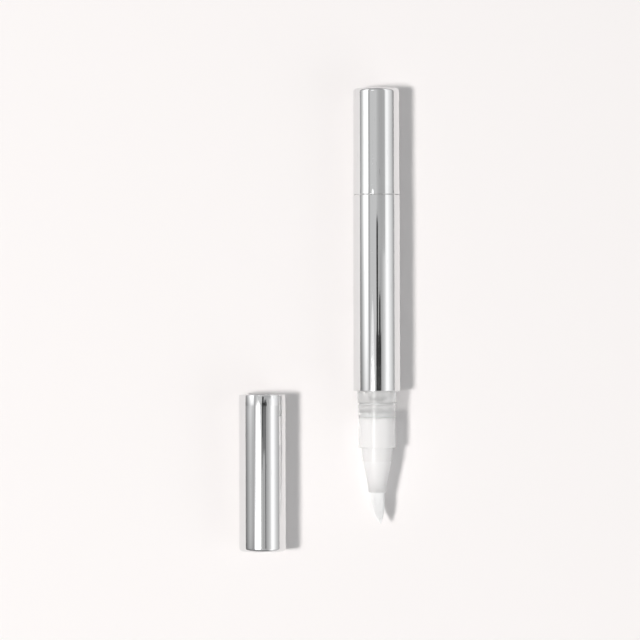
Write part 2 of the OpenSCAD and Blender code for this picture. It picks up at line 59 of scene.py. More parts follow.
# Where the frame lays the pen and its cap
tube_low, tube_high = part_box("outer_tube")
cap_low, cap_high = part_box("cap_shell")
AXIS_Z = (tube_low.z + tube_high.z) / 2
PEN_X = (tube_low.x + tube_high.x) / 2
CAP_X = (cap_low.x + cap_high.x) / 2


def lay(x, y):
    """Lays a piece drawn upright along the pen, its top towards the brush, its height zero at y."""
    return Matrix.Translation((x, y, AXIS_Z)) @ Matrix.Rotation(math.radians(90), 4, "X")


PEN = lay(PEN_X, tube_low.y)
CAP = lay(CAP_X, cap_high.y)


def reach(node, base):
    """Lowest and highest place of a node along the pen, in millimetres forward of base."""
    low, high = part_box(node)
    return (base - high.y) / MM, (base - low.y) / MM


# Heights along the pen, forward of the barrel's front edge, and along the cap, from its mouth
BARREL_BACK = reach("outer_tube", tube_low.y)[0]
KNOB_BACK, KNOB_FRONT = reach("knob_shell", tube_low.y)
NOZZLE_BACK, NOZZLE_FRONT = reach("nozzle", tube_low.y)
RESERVOIR_BACK, COLLAR_FRONT = reach("reservoir", tube_low.y)
BRISTLES_BACK, BRUSH_TIP = reach("bristles", tube_low.y)
SCREW_BACK, SCREW_FRONT = reach("drive_screw", tube_low.y)
CAP_LEN = reach("cap_shell", cap_high.y)[1]
LINER_MOUTH, LINER_END = reach("cap_liner", cap_high.y)

# Shells
SHELL_R = (tube_high.z - tube_low.z) / 2 / MM
SHELL_WALL = 0.5
SHELL_IN_R = SHELL_R - SHELL_WALL
LIP_ROUND = 0.12
END_ROUND = 1.0
# How far the knob's rim reaches into the gap that the frame leaves between knob and barrel
SEAM_REACH = 0.1
# The cap's mouth is spun in a little towards its rim: how far back that starts, and how deep it ends
ROLL_LEN = 3.0
ROLL_DROP = 0.07
# The knob is a little slimmer than its rim: how far back that starts, and by how much
FLARE_LEN = 2.6
FLARE_DROP = 0.09
EDGE_STEPS = 8

# Reservoir: sleeve in the barrel, neck with groove and bead, collar with the nozzle's socket, and well
SLEEVE_R = 5.95
SLEEVE_ROUND = 0.1
CHAMBER_R = 4.7
EDGE_SINK = 0.35
NECK_R = 5.35
NECK_LEN = 3.3
NECK_ROUND = 0.15
GROOVE_R = 5.05
GROOVE_W = 0.6
GROOVE_ROUND = 0.12
BEAD_R = 5.2
BEAD_W = 0.9
BEAD_ROUND = 0.22
BEAD_FRONT_ROUND = 0.1
COLLAR_R = 5.1
COLLAR_ROUND = 0.12
SOCKET_ROUND = 0.1
SOCKET_FLOOR_ROUND = 0.15
SHOULDER_BACK = 4.7
WELL_R = 2.65
WELL_OUT = 3.0
WELL_BACK = 1.0
WELL_ROUND = 0.5
WELL_STEPS = 10
FEED_HOLE_R = 0.8

# Nozzle: straight part, step, short taper and long cone outside, spigot behind, hollow and bore inside
NOZZLE_R = 5.05
NOZZLE_BACK_ROUND = 0.08
STRAIGHT_LEN = 8.3
STRAIGHT_ROUND = 0.22
STEP_R = 4.3
STEP_ROUND = 0.12
TAPER_R = 3.9
TAPER_LEN = 3.8
CONE_R = 3.85
CONE_LEN = 8.6
CONE_BOW = 1.15
CONE_STEPS = 8
MOUTH_R = 2.3
MOUTH_ROUND = 0.12
SPIGOT_R = 4.6
SPIGOT_ROUND = 0.2
HOLLOW_R = 3.2
HOLLOW_BACK_ROUND = 0.1
HOLLOW_END = 17.006
HOLLOW_END_ROUND = 0.2
BORE_R = 1.95
BORE_ROUND = 0.08
BORE_BACK_ROUND = 0.3
PUSH_FIT = 0.05

# Brush: its fused slice, and the strands, which swell a little and then draw in to a tip that leans aside
BRUSH_R = 1.85
SLICE_T = 0.6
STRAND_COUNT = 1500
STRAND_R = 0.045
STRAND_SIDES = 4
STRAND_LEVELS = 7
STRAND_SEED = 11
SWELL = 0.35
DRAW_IN = 0.93
DRAW_POWER = 2.3
TIP_OUT = 0.9
TIP_POWER = 1.4
# How much shorter the outer strands are, how far chance shortens and bends a strand, the smallest share of
# its radius that chance leaves it, and the share that it loses towards its end
OUTER_SHORT = 0.2
OUTER_POWER = 2.4
CHANCE_SHORT = 0.12
CHANCE_SWAY = 0.09
CHANCE_THIN_SHARE = 0.8
STRAND_TAPER_SHARE = 0.65

# Drive screw: core, thread between two flats, and the stem and head that snap into the piston
SCREW_R = 2.2
SCREW_CORE_R = 1.72
SCREW_FLAT = 1.6
LEAD = 1.5
CORE_ROUND = 0.2
# The ridge: half its foot as a share of the lead, half its crest as a share of that, how deep its foot sits
# in the core, how far its crest stays inside the screw's radius, and how much core is bare at each end
RIDGE_FOOT_SHARE = 0.3
RIDGE_CREST_SHARE = 0.3
RIDGE_SINK = 0.1
RIDGE_CLEAR = 0.02
RIDGE_BARE = 0.4
RIDGE_STEPS = 40
STEM_R = 1.2
STEM_LEN = 1.1
STEM_SINK = 0.3
HEAD_R = 1.7
HEAD_LEN = 2.0
HEAD_BACK_ROUND = 0.08
HEAD_ROUND = 0.2
HEAD_FRONT_ROUND = 0.15

# Cap liner: mouth, snap ridge, guide, sealing step, cone and the fins that hold it in the shell
MOUTH_BORE_R = 5.42
RIDGE_R = 5.25
GUIDE_R = 5.15
MOUTH_DEPTH = 5.0
SEAL_R = 4.45
SEAL_GAP = 0.15
LINER_END_R = 3.2
LINER_WALL = 1.0
LINER_LIP_ROUND = 0.12
LINER_EDGE_ROUND = 0.08
LINER_STEP_ROUND = 0.15
LINER_BEND_ROUND = 0.3
LINER_END_ROUND = 0.5
FIN_COUNT = 6
FIN_T = 0.8
FIN_ROUND = 0.12
FIN_ROUND_STEPS = 2
# How much of the liner's wall is left free under a fin's root
FIN_ROOT_SHARE = 0.7


# Mesh making

def outline(corners):
    """A bmesh with one wire outline, which closes on itself unless it runs from the axis to the axis.
    Corners are (radius, height) or (radius, height, rounding) in millimetres."""
    bm = bmesh.new()
    verts = [bm.verts.new((c[0] * MM, 0, c[1] * MM)) for c in corners]
    for one, two in zip(verts, verts[1:]):
        bm.edges.new((one, two))
    if corners[0][0] > 0 or corners[-1][0] > 0:
        bm.edges.new((verts[-1], verts[0]))
    roundings = [c[2] if len(c) > 2 else 0 for c in corners]
    for size in sorted(set(roundings) - {0}):
        bmesh.ops.bevel(bm, geom=[v for v, r in zip(verts, roundings) if r == size],
                        offset=size * MM, offset_type="OFFSET", segments=ROUND_STEPS, profile=0.5,
                        affect="VERTICES", material=-1)
    return bm


def spun(corners, steps=TURN_STEPS):
    """A bmesh of an outline turned once round its axis."""
    bm = outline(corners)
    bmesh.ops.spin(bm, geom=bm.verts[:] + bm.edges[:], cent=(0, 0, 0), axis=(0, 0, 1),
                   angle=2 * math.pi, steps=steps, use_merge=True)
    bmesh.ops.remove_doubles(bm, verts=bm.verts[:], dist=MERGE * MM)
    bmesh.ops.recalc_face_normals(bm, faces=bm.faces[:])
    return bm


def shares(steps):
    """Shares from 0 to 1 in even steps."""
    return [k / steps for k in range(steps + 1)]


def as_mesh(bm, name):
    """Turns a bmesh into a mesh, and frees it."""
    mesh = bpy.data.meshes.new(name)
    bm.to_mesh(mesh)
    bm.free()
    return mesh


def take_in(bm, part, name):
    """Adds a bmesh to another, and frees it."""
    bm.from_mesh(as_mesh(part, name))


def new_object(name, data):
    """An object of a mesh, lamp or camera, in the scene."""
    obj = bpy.data.objects.new(name, data)
    bpy.context.scene.collection.objects.link(obj)
    return obj


def piece(name, bm, place, even=True):
    """Places a bmesh in the frame and makes it an object, smooth but for its crisp corners."""
    bm.transform(place)
    for edge in bm.edges:
        if len(edge.link_faces) == 2 and edge.calc_face_angle() > math.radians(CRISP_ANGLE):
            edge.smooth = False
    for face in bm.faces:
        face.smooth = True
    obj = new_object(name, as_mesh(bm, name))
    if even:
        shading = obj.modifiers.new("even_shading", "WEIGHTED_NORMAL")
        shading.keep_sharp = True
    return obj


def dress(obj, body, slot, material, *nodes):
    """Gives a piece its material and the body that it rides on, in place of CAD nodes."""
    obj.data.materials.clear()
    obj.data.materials.append(material)
    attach(obj, body)
    if nodes:
        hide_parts(*nodes)


# Shader groups

def new_group(name, inputs, outputs):
    """An empty shader group; inputs and outputs are (name, kind, default)."""
    tree = bpy.data.node_groups.new(name, "ShaderNodeTree")
    for direction, sockets in (("INPUT", inputs), ("OUTPUT", outputs)):
        for label, kind, default in sockets:
            socket = tree.interface.new_socket(label, in_out=direction, socket_type=f"NodeSocket{kind}")
            if default is not None:
                socket.default_value = default
    return tree, tree.nodes.new("NodeGroupInput"), tree.nodes.new("NodeGroupOutput")


def add(tree, kind, **settings):
    """A node with its properties set."""
    node = tree.nodes.new(kind)
    for key, value in settings.items():
        setattr(node, key, value)
    return node


def put(tree, socket, value):
    """Links another node's output to an input, or types a plain value into it."""
    if isinstance(value, bpy.types.NodeSocket):
        tree.links.new(value, socket)
    else:
        socket.default_value = value


def feed(tree, node, **values):
    """Puts values into a node's inputs by name; _ in a name stands for a space."""
    for key, value in values.items():
        put(tree, node.inputs[key.replace("_", " ")], value)
    return node


def maths(tree, operation, one, two, clamp=False):
    """A Math node of two values, each a number or a socket."""
    node = add(tree, "ShaderNodeMath", operation=operation, use_clamp=clamp)
    put(tree, node.inputs[0], one)
    put(tree, node.inputs[1], two)
    return node.outputs[0]


def noise(tree, vector, **values):
    """The level of a noise texture."""
    node = add(tree, "ShaderNodeTexNoise", noise_dimensions="3D")
    return feed(tree, node, Vector=vector, **values).outputs["Fac"]


def stretched(tree, vector, **values):
    """A vector, turned and scaled."""
    return feed(tree, add(tree, "ShaderNodeMapping"), Vector=vector, **values).outputs["Vector"]


def smooth_step(tree, value, start, end, top=1):
    """A level that goes smoothly from 0 to top while a value goes from start to end."""
    node = add(tree, "ShaderNodeMapRange", interpolation_type="SMOOTHSTEP")
    feed(tree, node, Value=value, From_Min=start, From_Max=end, To_Min=0, To_Max=top)
    return node.outputs["Result"]


def tinted(tree, factor, one, two):
    """A colour between two others."""
    node = add(tree, "ShaderNodeMix", data_type="RGBA")
    return feed(tree, node, Factor=factor, A=one, B=two).outputs["Result"]


def two_depths(tree, one, one_depth, two, two_depth):
    """A height from two levels, each times its own depth."""
    return maths(tree, "ADD",
                 maths(tree, "MULTIPLY", one, one_depth),
                 maths(tree, "MULTIPLY", two, two_depth))


def make_drawn_ripple():
    """Faint long waves left by drawing a tube, with shallow dimples across them. Height is in metres."""
    tree, inside, outside = new_group(
        "drawn_ripple",
        [("Vector", "Vector", None), ("Wave Depth", "Float", 0.00001), ("Dimple Depth", "Float", 0.000001)],
        [("Height", "Float", None)])
    vector = inside.outputs["Vector"]
    waves = noise(tree, stretched(tree, vector, Scale=(260, 45, 260)), Scale=1, Detail=1)
    dimples = noise(tree, vector, Scale=1400, Detail=2)
    feed(tree, outside, Height=two_depths(
        tree, waves, inside.outputs["Wave Depth"], dimples, inside.outputs["Dimple Depth"]))
    return tree


def make_handling():
    """Soft smears from handling and fine hairline scratches: a roughness value and a mask."""
    tree, inside, outside = new_group(
        "handling",
        [("Vector", "Vector", None), ("Clean", "Float", 0.03), ("Smeared", "Float", 0.09),
         ("Scratched", "Float", 0.16)],
        [("Roughness", "Float", None), ("Scratch Mask", "Float", None)])
    vector = inside.outputs["Vector"]
    clean = inside.outputs["Clean"]
    smears = smooth_step(tree, noise(tree, vector, Scale=95, Detail=3, Distortion=0.6), 0.45, 0.75)
    slanting = stretched(tree, vector, Rotation=(0.35, 0.2, 0.55), Scale=(3200, 190, 3200))
    hairs = smooth_step(tree, noise(tree, slanting, Scale=1, Detail=1), 0.68, 0.76)
    spread = maths(tree, "SUBTRACT", inside.outputs["Smeared"], clean)
    smeared = maths(tree, "ADD", clean, maths(tree, "MULTIPLY", smears, spread))
    scratched = maths(tree, "MULTIPLY", hairs, inside.outputs["Scratched"])
    feed(tree, outside, Roughness=maths(tree, "ADD", smeared, scratched, clamp=True), Scratch_Mask=hairs)
    return tree


def make_moulded_skin():
    """The skin of a moulded piece: a cloudy tint, flow lines along the pen and a fine spark texture."""
    tree, inside, outside = new_group(
        "moulded_skin",
        [("Vector", "Vector", None), ("Colour", "Color", (0.9, 0.9, 0.9, 1)),
         ("Cloud Colour", "Color", (0.85, 0.85, 0.85, 1)), ("Spark Depth", "Float", 0.000002),
         ("Flow Depth", "Float", 0.000004)],
        [("Colour", "Color", None), ("Height", "Float", None)])
    vector = inside.outputs["Vector"]
    cloud = noise(tree, vector, Scale=240, Detail=3)
    spark = noise(tree, vector, Scale=4200, Detail=2)
    flow = noise(tree, stretched(tree, vector, Scale=(520, 70, 520)), Scale=1, Detail=2)
    feed(tree, outside,
         Colour=tinted(tree, cloud, inside.outputs["Colour"], inside.outputs["Cloud Colour"]),
         Height=two_depths(tree, spark, inside.outputs["Spark Depth"], flow, inside.outputs["Flow Depth"]))
    return tree


DRAWN_RIPPLE = make_drawn_ripple()
HANDLING = make_handling()
MOULDED_SKIN = make_moulded_skin()


def placed_group(tree, group, coordinates, **values):
    """A group node in a material, fed with coordinates and its own values."""
    return feed(tree, add(tree, "ShaderNodeGroup", node_tree=group), Vector=coordinates, **values)


def new_material(name):
    """A material with its Principled shader, its tree and its Object coordinates."""
    material = bpy.data.materials.new(name)
    material.use_nodes = True
    tree = material.node_tree
    shader = tree.nodes["Principled BSDF"]
    coordinates = add(tree, "ShaderNodeTexCoord").outputs["Object"]
    return material, tree, shader, coordinates


def bump_from(tree, shader, height):
    """Feeds a height in metres to the shader's normal."""
    bump = feed(tree, add(tree, "ShaderNodeBump"), Strength=1, Distance=1, Height=height)
    feed(tree, shader, Normal=bump.outputs["Normal"])


def make_mirror_metal():
    """Bright drawn aluminium: a clean mirror with faint waves, smears and hairlines."""
    material, tree, shader, coordinates = new_material("mirror_metal")
    ripple = placed_group(tree, DRAWN_RIPPLE, coordinates, Wave_Depth=0.000006, Dimple_Depth=0.0000002)
    marks = placed_group(tree, HANDLING, coordinates, Clean=0.035, Smeared=0.075, Scratched=0.1)
    bright, dulled = (0.8, 0.803, 0.807, 1), (0.73, 0.732, 0.738, 1)
    feed(tree, shader, Metallic=1, Roughness=marks.outputs["Roughness"],
         Base_Color=tinted(tree, marks.outputs["Scratch Mask"], bright, dulled))
    bump_from(tree, shader, ripple.outputs["Height"])
    return material


def let_lamps_through(tree, shader, share):
    """Lets this share of a lamp's light through each wall, so that what lies behind is lit."""
    path = add(tree, "ShaderNodeLightPath")
    through = add(tree, "ShaderNodeBsdfTransparent")
    mix = add(tree, "ShaderNodeMixShader")
    out = next(node for node in tree.nodes if node.type == "OUTPUT_MATERIAL")
    put(tree, mix.inputs["Fac"], maths(tree, "MULTIPLY", path.outputs["Is Shadow Ray"], share))
    put(tree, mix.inputs[1], shader.outputs["BSDF"])
    put(tree, mix.inputs[2], through.outputs["BSDF"])
    put(tree, out.inputs["Surface"], mix.outputs["Shader"])


def make_clear_plastic():
    """Clear moulded plastic, a little milky, and thick enough to bend what is seen through it."""
    material, tree, shader, coordinates = new_material("clear_plastic")
    skin = placed_group(tree, MOULDED_SKIN, coordinates, Colour=(0.99, 1, 1, 1),
                        Cloud_Colour=(0.975, 0.985, 0.985, 1), Spark_Depth=0.0000004, Flow_Depth=0.000004)
    marks = placed_group(tree, HANDLING, coordinates, Clean=0.05, Smeared=0.1, Scratched=0.1)
    feed(tree, shader, Transmission_Weight=0.68, IOR=1.49,
         Base_Color=skin.outputs["Colour"], Roughness=marks.outputs["Roughness"])
    bump_from(tree, shader, skin.outputs["Height"])
    let_lamps_through(tree, shader, share=0.52)
    return material


def make_frosted_plastic(name, cone_start):
    """Milky plastic that light sinks into: glossy behind cone_start, which is a place along Y, then matt."""
    material, tree, shader, coordinates = new_material(name)
    skin = placed_group(tree, MOULDED_SKIN, coordinates, Colour=(0.955, 0.97, 0.975, 1),
                        Cloud_Colour=(0.935, 0.955, 0.965, 1), Spark_Depth=0.000001, Flow_Depth=0.000003)
    marks = placed_group(tree, HANDLING, coordinates, Clean=0.06, Smeared=0.12, Scratched=0.08)
    place = feed(tree, add(tree, "ShaderNodeSeparateXYZ"), Vector=coordinates)
    fade = 0.1 * MM
    matt = smooth_step(tree, place.outputs["Y"], cone_start + fade, cone_start - fade, top=0.42)
    feed(tree, shader, IOR=1.49, Subsurface_Weight=0.85, Subsurface_Radius=(1, 1, 1), Subsurface_Scale=2 * MM,
         Base_Color=skin.outputs["Colour"], Roughness=maths(tree, "ADD", marks.outputs["Roughness"], matt))
    bump_from(tree, shader, skin.outputs["Height"])
    return material


def make_moulded_plastic(name, colour, cloud_colour, clean, sunk=0.0, through=0.0):
    """Moulded plastic; clean is its roughness where it is unmarked, sunk is how much of the light sinks in,
    and through is how much of a lamp's light passes each wall."""
    material, tree, shader, coordinates = new_material(name)
    skin = placed_group(tree, MOULDED_SKIN, coordinates, Colour=(*colour, 1), Cloud_Colour=(*cloud_colour, 1),
                        Spark_Depth=0.0000015, Flow_Depth=0.000003)
    marks = placed_group(tree, HANDLING, coordinates, Clean=clean, Smeared=clean + 0.1, Scratched=0.1)
    feed(tree, shader, IOR=1.5, Subsurface_Weight=sunk, Subsurface_Radius=(1, 1, 1), Subsurface_Scale=1 * MM,
         Base_Color=skin.outputs["Colour"], Roughness=marks.outputs["Roughness"])
    bump_from(tree, shader, skin.outputs["Height"])
    if through:
        let_lamps_through(tree, shader, through)
    return material


STRAIGHT_END = COLLAR_FRONT + STRAIGHT_LEN
TAPER_END = STRAIGHT_END + TAPER_LEN

MIRROR_METAL = make_mirror_metal()
CLEAR_PLASTIC = make_clear_plastic()
FROSTED_PLASTIC = make_frosted_plastic("frosted_plastic", tube_low.y - TAPER_END * MM)
WHITE_NYLON = make_moulded_plastic(
    "white_nylon", (0.98, 0.99, 0.995), (0.97, 0.98, 0.985), clean=0.4, through=0.7)
MILKY_PLASTIC = make_moulded_plastic(
    "milky_plastic", (0.92, 0.925, 0.92), (0.89, 0.895, 0.89), clean=0.3, sunk=0.5)
WHITE_PLASTIC = make_moulded_plastic(
    "white_plastic", (0.9, 0.9, 0.89), (0.86, 0.86, 0.855), clean=0.3)


# Shells

def make_outer_tube():
    """The barrel, a drawn tube open at both ends."""
    corners = [
        (SHELL_IN_R, BARREL_BACK, LIP_ROUND),
        (SHELL_R, BARREL_BACK, LIP_ROUND),
        (SHELL_R, 0, LIP_ROUND),
        (SHELL_IN_R, 0, LIP_ROUND),
    ]
    dress(piece("barrel_tube", spun(corners), PEN), "barrel", "mirror_metal", MIRROR_METAL, "outer_tube")


def closed_shell(mouth, end, edge):
    """Corners of a shell with an open mouth and a closed, rounded end.
    edge holds the outside of the mouth, from the rim back: (radius, distance from the rim)."""
    inward = 1 if end > mouth else -1
    floor = end - inward * SHELL_WALL
    outside = [(r, mouth + inward * step) for r, step in edge]
    outside[0] = (*outside[0], LIP_ROUND)
    return [
        (0, floor),
        (SHELL_IN_R - FLARE_DROP, floor, END_ROUND - SHELL_WALL),
        (SHELL_IN_R - FLARE_DROP, mouth, LIP_ROUND),
        *outside,
        (edge[-1][0], end, END_ROUND),
        (0, end),
    ]


def make_knob_shell():
    """The knob's cover, which slims down behind its rim."""
    edge = [(SHELL_R - FLARE_DROP * (1 - (1 - share) ** 2), FLARE_LEN * share)
            for share in shares(EDGE_STEPS)]
    corners = closed_shell(KNOB_FRONT + SEAM_REACH, KNOB_BACK, edge)
    dress(piece("knob_cover", spun(corners), PEN), "knob", "mirror_metal", MIRROR_METAL, "knob_shell")


def make_cap_shell():
    """The cap's cover, its mouth spun in towards the rim."""
    edge = [(SHELL_R - ROLL_DROP * (1 - share) ** 2, ROLL_LEN * share)
            for share in shares(EDGE_STEPS)]
    corners = closed_shell(0, CAP_LEN, edge)
    dress(piece("cap_cover", spun(corners), CAP), "cap", "mirror_metal", MIRROR_METAL, "cap_shell")


# Reservoir

def well_corners():
    """The round end of the well, from the channel out to its wall."""
    centre = WELL_OUT - WELL_R
    start = math.acos(FEED_HOLE_R / WELL_R)
    return [
        (WELL_R * math.cos(start * (1 - share)), centre + WELL_R * math.sin(start * (1 - share)))
        for share in shares(WELL_STEPS)
    ]


def make_reservoir():
    """The oil chamber and its neck, with the domed well and the thin channel to the nozzle."""
    groove_end = NECK_LEN + GROOVE_W
    bead_end = groove_end + BEAD_W
    socket_r = SPIGOT_R + PUSH_FIT
    socket_floor = NOZZLE_BACK - PUSH_FIT
    corners = [
        (CHAMBER_R, RESERVOIR_BACK),
        (SLEEVE_R, RESERVOIR_BACK),
        (SLEEVE_R, -EDGE_SINK, SLEEVE_ROUND),
        (NECK_R, -EDGE_SINK, SLEEVE_ROUND),
        (NECK_R, NECK_LEN, NECK_ROUND),
        (GROOVE_R, NECK_LEN, GROOVE_ROUND),
        (GROOVE_R, groove_end, GROOVE_ROUND),
        (BEAD_R, groove_end, BEAD_ROUND),
        (BEAD_R, bead_end, BEAD_FRONT_ROUND),
        (COLLAR_R, bead_end),
        (COLLAR_R, COLLAR_FRONT, COLLAR_ROUND),
        (socket_r, COLLAR_FRONT, SOCKET_ROUND),
        (socket_r, socket_floor, SOCKET_FLOOR_ROUND),
        (FEED_HOLE_R, socket_floor),
        *well_corners(),
        (WELL_R, -WELL_BACK, WELL_ROUND),
        (CHAMBER_R, -SHOULDER_BACK),
    ]
    dress(piece("oil_chamber", spun(corners), PEN), "barrel", "clear_plastic", CLEAR_PLASTIC, "reservoir")


# Nozzle

def cone_corners():
    """The long cone, slightly hollow, from its back to its front."""
    return [
        (MOUTH_R + (CONE_R - MOUTH_R) * (1 - share) ** CONE_BOW, TAPER_END + CONE_LEN * share)
        for share in shares(CONE_STEPS)
    ]


def make_nozzle():
    """The brush housing, plugged into the collar, with a hollow for the retainer and a bore for the brush."""
    cone = cone_corners()
    cone[-1] = (*cone[-1], MOUTH_ROUND)
    corners = [
        (HOLLOW_R, NOZZLE_BACK, HOLLOW_BACK_ROUND),
        (SPIGOT_R, NOZZLE_BACK, SPIGOT_ROUND),
        (SPIGOT_R, COLLAR_FRONT),
        (NOZZLE_R, COLLAR_FRONT, NOZZLE_BACK_ROUND),
        (NOZZLE_R, STRAIGHT_END, STRAIGHT_ROUND),
        (STEP_R, STRAIGHT_END, STEP_ROUND),
        (TAPER_R, TAPER_END),
        *cone,
        (BORE_R, NOZZLE_FRONT, BORE_ROUND),
        (BORE_R, HOLLOW_END + HOLLOW_R - BORE_R, BORE_BACK_ROUND),
        (HOLLOW_R, HOLLOW_END, HOLLOW_END_ROUND),
    ]
    dress(piece("brush_housing", spun(corners), PEN), "barrel", "frosted_plastic", FROSTED_PLASTIC, "nozzle")


# Brush

def straight_strand():
    """One straight upright strand, one unit long and round, closed at its end, as a mesh to copy."""
    bm = bmesh.new()
    ring = bmesh.ops.create_circle(bm, cap_ends=False, segments=STRAND_SIDES, radius=1)["verts"]
    edges = list({e for v in ring for e in v.link_edges})
    for _ in range(STRAND_LEVELS):
        new = bmesh.ops.extrude_edge_only(bm, edges=edges)["geom"]
        verts = [g for g in new if isinstance(g, bmesh.types.BMVert)]
        edges = [g for g in new if isinstance(g, bmesh.types.BMEdge)]
        bmesh.ops.translate(bm, verts=verts, vec=(0, 0, 1 / STRAND_LEVELS))
    bmesh.ops.edgeloop_fill(bm, edges=edges)
    return as_mesh(bm, "straight_strand")


def fused_slice(front):
    """The slice that holds the strands, round the feed tube."""
    corners = [(FEED_HOLE_R, BRISTLES_BACK), (BRUSH_R, BRISTLES_BACK), (BRUSH_R, front), (FEED_HOLE_R, front)]
    return spun(corners, SMALL_STEPS)


def make_bristles():
    """Strands spread evenly over a round slice by the golden angle, each bent inwards to the leaning tip."""
    rand = random.Random(STRAND_SEED)
    template = straight_strand()
    slice_front = BRISTLES_BACK + SLICE_T
    full = BRUSH_TIP - slice_front
    bm = bmesh.new()
    for n in range(STRAND_COUNT):
        edge_share = math.sqrt((n + 0.5) / STRAND_COUNT)
        root_r = FEED_HOLE_R + STRAND_R + (BRUSH_R - FEED_HOLE_R - 2 * STRAND_R) * edge_share
        turn = n * math.pi * (3 - math.sqrt(5))
        root = Vector((root_r * math.cos(turn), root_r * math.sin(turn), 0))
        length = 1 - OUTER_SHORT * edge_share ** OUTER_POWER - CHANCE_SHORT * rand.random() ** 2
        sway = Vector((rand.uniform(-1, 1), rand.uniform(-1, 1), 0)) * CHANCE_SWAY
        thin = STRAND_R * rand.uniform(CHANCE_THIN_SHARE, 1.0)
        first = len(bm.verts)
        bm.from_mesh(template)
        bm.verts.ensure_lookup_table()
        for v in bm.verts[first:]:
            share = v.co.z * length
            spread = 1 + SWELL * share * (1 - share) - DRAW_IN * share ** DRAW_POWER
            drawn = root * spread + sway * share * (1 - share) * 2
            taper = thin * (1 - STRAND_TAPER_SHARE * v.co.z ** 2)
            v.co = Vector((
                drawn.x + v.co.x * taper + TIP_OUT * share ** TIP_POWER,
                drawn.y + v.co.y * taper,
                slice_front + full * share)) * MM
    take_in(bm, fused_slice(slice_front), "fused_slice")
    dress(piece("brush_strands", bm, PEN, even=False), "barrel", "white_nylon", WHITE_NYLON, "bristles")


# Drive screw

def cut_flats(bm, height):
    """Cuts two flats on a piece, closing the cuts."""
    for side in (-1, 1):
        everything = bm.verts[:] + bm.edges[:] + bm.faces[:]
        cut = bmesh.ops.bisect_plane(bm, geom=everything, plane_co=(0, side * height * MM, 0),
                                     plane_no=(0, side, 0), clear_outer=True)
        edges = [g for g in cut["geom_cut"] if isinstance(g, bmesh.types.BMEdge)]
        bmesh.ops.holes_fill(bm, edges=edges, sides=0)


def thread_ridge(bottom, top, core_r, crest_r):
    """A bmesh of one right-hand ridge wound round a core, its ends closed."""
    bm = bmesh.new()
    half_foot = LEAD * RIDGE_FOOT_SHARE
    half_crest = half_foot * RIDGE_CREST_SHARE
    section = [(core_r, -half_foot), (crest_r, -half_crest), (crest_r, half_crest), (core_r, half_foot)]
    face = bm.faces.new([bm.verts.new((r * MM, 0, (bottom + half_foot + z) * MM)) for r, z in section])
    turns = (top - bottom - 2 * half_foot) / LEAD
    count = round(turns * RIDGE_STEPS)
    bmesh.ops.spin(bm, geom=[face], cent=(0, 0, 0), axis=(0, 0, 1), dvec=(0, 0, LEAD * turns / count * MM),
                   angle=2 * math.pi * turns, steps=count, use_merge=False)
    bm.faces.ensure_lookup_table()
    bmesh.ops.recalc_face_normals(bm, faces=bm.faces[:])
    return bm


def make_drive_screw():
    """The screw: a core, a thread cut by two flats, and the stem and head that snap into the piston."""
    head_back = SCREW_FRONT - HEAD_LEN
    rod_front = head_back - STEM_LEN
    rod = spun([
        (0, SCREW_BACK),
        (SCREW_CORE_R, SCREW_BACK, CORE_ROUND),
        (SCREW_CORE_R, rod_front, CORE_ROUND),
        (0, rod_front),
    ], CORE_STEPS)
    cut_flats(rod, SCREW_FLAT)
    ridge = thread_ridge(SCREW_BACK + RIDGE_BARE, rod_front - RIDGE_BARE,
                         SCREW_CORE_R - RIDGE_SINK, SCREW_R - RIDGE_CLEAR)
    cut_flats(ridge, SCREW_FLAT)
    head = spun([
        (0, rod_front - STEM_SINK),
        (STEM_R, rod_front - STEM_SINK),
        (STEM_R, head_back),
        (HEAD_R, head_back, HEAD_BACK_ROUND),
        (HEAD_R, head_back + HEAD_LEN / 2, HEAD_ROUND),
        (STEM_R, SCREW_FRONT, HEAD_FRONT_ROUND),
        (0, SCREW_FRONT),
    ], SMALL_STEPS)
    for part in (ridge, head):
        take_in(rod, part, "screw_part")
    dress(piece("feed_screw", rod, PEN), "drive_screw", "white_plastic", WHITE_PLASTIC, "drive_screw")


# Cap liner

def liner_fin(back, turn):
    """A fin from a height to the liner's end, turned to its place."""
    inner = LINER_END_R + LINER_WALL * FIN_ROOT_SHARE
    outer = SLEEVE_R - PUSH_FIT
    bm = bmesh.new()
    bmesh.ops.create_cube(bm, size=1)
    bmesh.ops.scale(bm, verts=bm.verts[:], vec=((outer - inner) * MM, FIN_T * MM, (LINER_END - back) * MM))
    bmesh.ops.translate(bm, verts=bm.verts[:], vec=((outer + inner) / 2 * MM, 0, (LINER_END + back) / 2 * MM))
    bmesh.ops.bevel(bm, geom=bm.edges[:], offset=FIN_ROUND * MM, offset_type="OFFSET",
                    segments=FIN_ROUND_STEPS, profile=0.5, affect="EDGES", material=-1)
    bmesh.ops.rotate(bm, verts=bm.verts[:], cent=(0, 0, 0), matrix=Matrix.Rotation(turn, 3, "Z"))
    return bm


